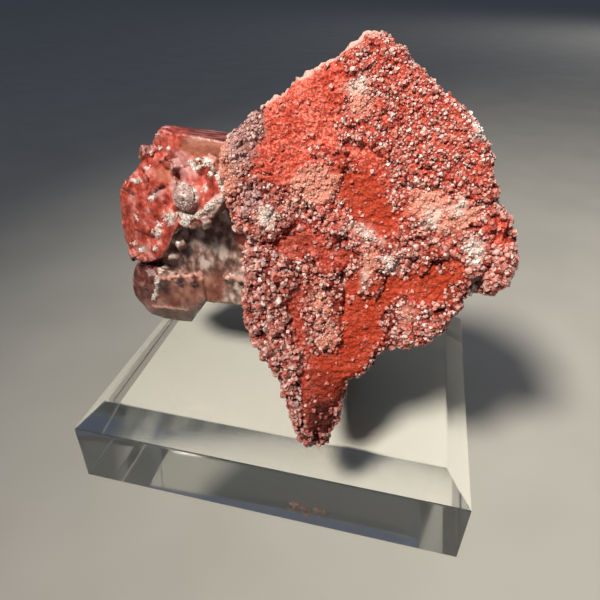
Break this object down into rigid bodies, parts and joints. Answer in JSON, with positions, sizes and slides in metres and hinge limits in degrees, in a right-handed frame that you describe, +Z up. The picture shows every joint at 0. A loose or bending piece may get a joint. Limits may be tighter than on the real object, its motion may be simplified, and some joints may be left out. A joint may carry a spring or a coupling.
{
  "type": "mineral specimen on a display block",
  "caption": "Red druse-covered matrix plate with a cluster of intergrown calcite crystals behind it, standing on a clear bevelled rectangular block.",
  "frame": {"origin": "middle of the display block's underside", "axes": "+X to the right along the block's front edge, +Y towards the back, +Z up"},
  "size_m": [0.1015, 0.078, 0.1106],
  "materials": {
    "clear_acrylic": "clear, polished",
    "red_druse": "sparkling crust of small crystals on dull red rock",
    "red_calcite": "glassy, partly translucent"
  },
  "bodies": {
    "root": {"display_block": "clear_acrylic", "matrix": "red_druse", "calcite_crystals": "red_calcite"}
  },
  "joints": []
}
